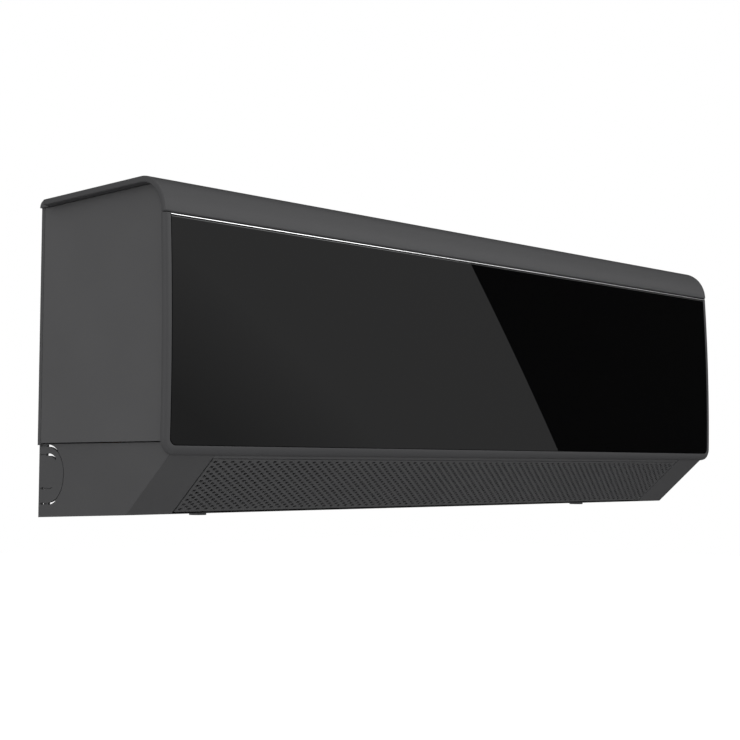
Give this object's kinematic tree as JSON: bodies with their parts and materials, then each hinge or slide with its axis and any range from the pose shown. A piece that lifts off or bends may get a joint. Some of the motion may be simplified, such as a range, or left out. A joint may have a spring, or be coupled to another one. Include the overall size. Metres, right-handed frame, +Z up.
{
  "type": "mini split indoor unit",
  "caption": "Wall-mounted split air conditioner indoor unit with dark casing, glass front panel, perforated outlet flap, guide vanes, coil and cross-flow fan.",
  "frame": {"origin": "centre of the wall plate's back face, on the wall", "axes": "+X to the right seen from the room, +Y into the wall, +Z up"},
  "size_m": [0.84, 0.2047, 0.2938],
  "materials": {
    "casing": "dark grey textured",
    "hood": "dark grey satin",
    "glass": "black printed, polished",
    "trim": "polished",
    "flap": "dark grey perforated",
    "inner": "white moulded",
    "fan": "black moulded",
    "fins": "fine fins",
    "steel": "galvanised",
    "copper": "drawn copper",
    "brass": "turned",
    "rubber": "moulded",
    "motor": "moulded housing",
    "board": "circuit board",
    "filter": "fine mesh"
  },
  "bodies": {
    "unit": {"case_screw_centre": "steel", "case_screw_left": "steel", "case_screw_right": "steel", "circuit_board": "board", "coil_plate_left": "steel", "coil_plate_right": "steel", "control_box": "steel", "control_box_cover": "steel", "display_module": "rubber", "drain_pan": "inner", "drain_plug": "rubber", "evaporator_front_lower": "fins", "evaporator_front_upper": "fins", "evaporator_rear": "fins", "fan_bearing": "rubber", "fan_motor": "motor", "flap_motor": "motor", "front_case": "casing", "gas_flare_nut": "brass", "gas_pipe": "copper", "intake_grille": "casing", "liquid_flare_nut": "brass", "liquid_pipe": "copper", "motor_clamp": "inner", "outlet_ceiling": "casing", "pipe_clip": "inner", "rear_chassis": "casing", "return_bend_1": "copper", "return_bend_2": "copper", "return_bend_3": "copper", "return_bend_4": "copper", "side_panel_left": "casing", "side_panel_right": "casing", "terminal_block": "rubber", "top_cover": "hood", "vane_motor_left": "motor", "vane_motor_right": "motor", "wall_plate": "steel"},
    "fan": {"cross_flow_fan": "fan", "motor_shaft": "steel"},
    "panel": {"front_panel": "hood", "glass_panel": "glass", "chrome_strip": "trim", "panel_hinge_arm_left": "inner", "panel_hinge_arm_right": "inner"},
    "flap": {"outlet_flap": "flap"},
    "filter": {"air_filter": "filter"},
    "button": {"power_button": "inner"},
    "link_left": {"vane_link_left": "fan"},
    "link_right": {"vane_link_right": "fan"},
    "vane_left_1": {"vane_left_1": "fan"},
    "vane_left_2": {"vane_left_2": "fan"},
    "vane_left_3": {"vane_left_3": "fan"},
    "vane_left_4": {"vane_left_4": "fan"},
    "vane_right_1": {"vane_right_1": "fan"},
    "vane_right_2": {"vane_right_2": "fan"},
    "vane_right_3": {"vane_right_3": "fan"},
    "vane_right_4": {"vane_right_4": "fan"}
  },
  "joints": [
    {"name": "fan_spin", "type": "hinge", "parent": "unit", "child": "fan", "pos_m": [0, -0.1, -0.028], "axis": [1, 0, 0], "continuous": true},
    {"name": "panel_hinge", "type": "hinge", "parent": "unit", "child": "panel", "pos_m": [0, -0.20118, 0.10795], "axis": [-1, 0, 0], "range_deg": [0, 55]},
    {"name": "flap_hinge", "type": "hinge", "parent": "unit", "child": "flap", "pos_m": [0, -0.13901, -0.13366], "axis": [1, 0, 0], "range_deg": [0, 75]},
    {"name": "filter_lift", "type": "slide", "parent": "unit", "child": "filter", "axis": [0, 0, 1], "range_m": [0, 0.12]},
    {"name": "button_press", "type": "slide", "parent": "unit", "child": "button", "axis": [0, 1, 0], "range_m": [0, 0.0015], "stiffness_N_per_m": 300},
    {"name": "vane_left_1_swing", "type": "hinge", "parent": "unit", "child": "vane_left_1", "pos_m": [-0.3, -0.116, -0.12621], "axis": [0, -0.5596, 0.8287], "range_deg": [-30, 30]},
    {"name": "vane_left_2_swing", "type": "hinge", "parent": "unit", "child": "vane_left_2", "pos_m": [-0.22, -0.116, -0.12621], "axis": [0, -0.5596, 0.8287], "range_deg": [-30, 30]},
    {"name": "vane_left_3_swing", "type": "hinge", "parent": "unit", "child": "vane_left_3", "pos_m": [-0.14, -0.116, -0.12621], "axis": [0, -0.5596, 0.8287], "range_deg": [-30, 30]},
    {"name": "vane_left_4_swing", "type": "hinge", "parent": "unit", "child": "vane_left_4", "pos_m": [-0.06, -0.116, -0.12621], "axis": [0, -0.5596, 0.8287], "range_deg": [-30, 30]},
    {"name": "link_left_slide", "type": "slide", "parent": "unit", "child": "link_left", "axis": [1, 0, 0], "range_m": [-0.0075, 0.0075]},
    {"name": "vane_right_1_swing", "type": "hinge", "parent": "unit", "child": "vane_right_1", "pos_m": [0.06, -0.116, -0.12621], "axis": [0, -0.5596, 0.8287], "range_deg": [-30, 30]},
    {"name": "vane_right_2_swing", "type": "hinge", "parent": "unit", "child": "vane_right_2", "pos_m": [0.14, -0.116, -0.12621], "axis": [0, -0.5596, 0.8287], "range_deg": [-30, 30]},
    {"name": "vane_right_3_swing", "type": "hinge", "parent": "unit", "child": "vane_right_3", "pos_m": [0.22, -0.116, -0.12621], "axis": [0, -0.5596, 0.8287], "range_deg": [-30, 30]},
    {"name": "vane_right_4_swing", "type": "hinge", "parent": "unit", "child": "vane_right_4", "pos_m": [0.3, -0.116, -0.12621], "axis": [0, -0.5596, 0.8287], "range_deg": [-30, 30]},
    {"name": "link_right_slide", "type": "slide", "parent": "unit", "child": "link_right", "axis": [1, 0, 0], "range_m": [-0.0075, 0.0075]}
  ],
  "couplings": [
    {"joint": "vane_left_2_swing", "follows": "vane_left_1_swing", "ratio": 1},
    {"joint": "vane_left_3_swing", "follows": "vane_left_1_swing", "ratio": 1},
    {"joint": "vane_left_4_swing", "follows": "vane_left_1_swing", "ratio": 1},
    {"joint": "link_left_slide", "follows": "vane_left_1_swing", "m_per_rad": 0.014},
    {"joint": "vane_right_1_swing", "follows": "vane_right_4_swing", "ratio": 1},
    {"joint": "vane_right_2_swing", "follows": "vane_right_4_swing", "ratio": 1},
    {"joint": "vane_right_3_swing", "follows": "vane_right_4_swing", "ratio": 1},
    {"joint": "link_right_slide", "follows": "vane_right_4_swing", "m_per_rad": 0.014}
  ]
}
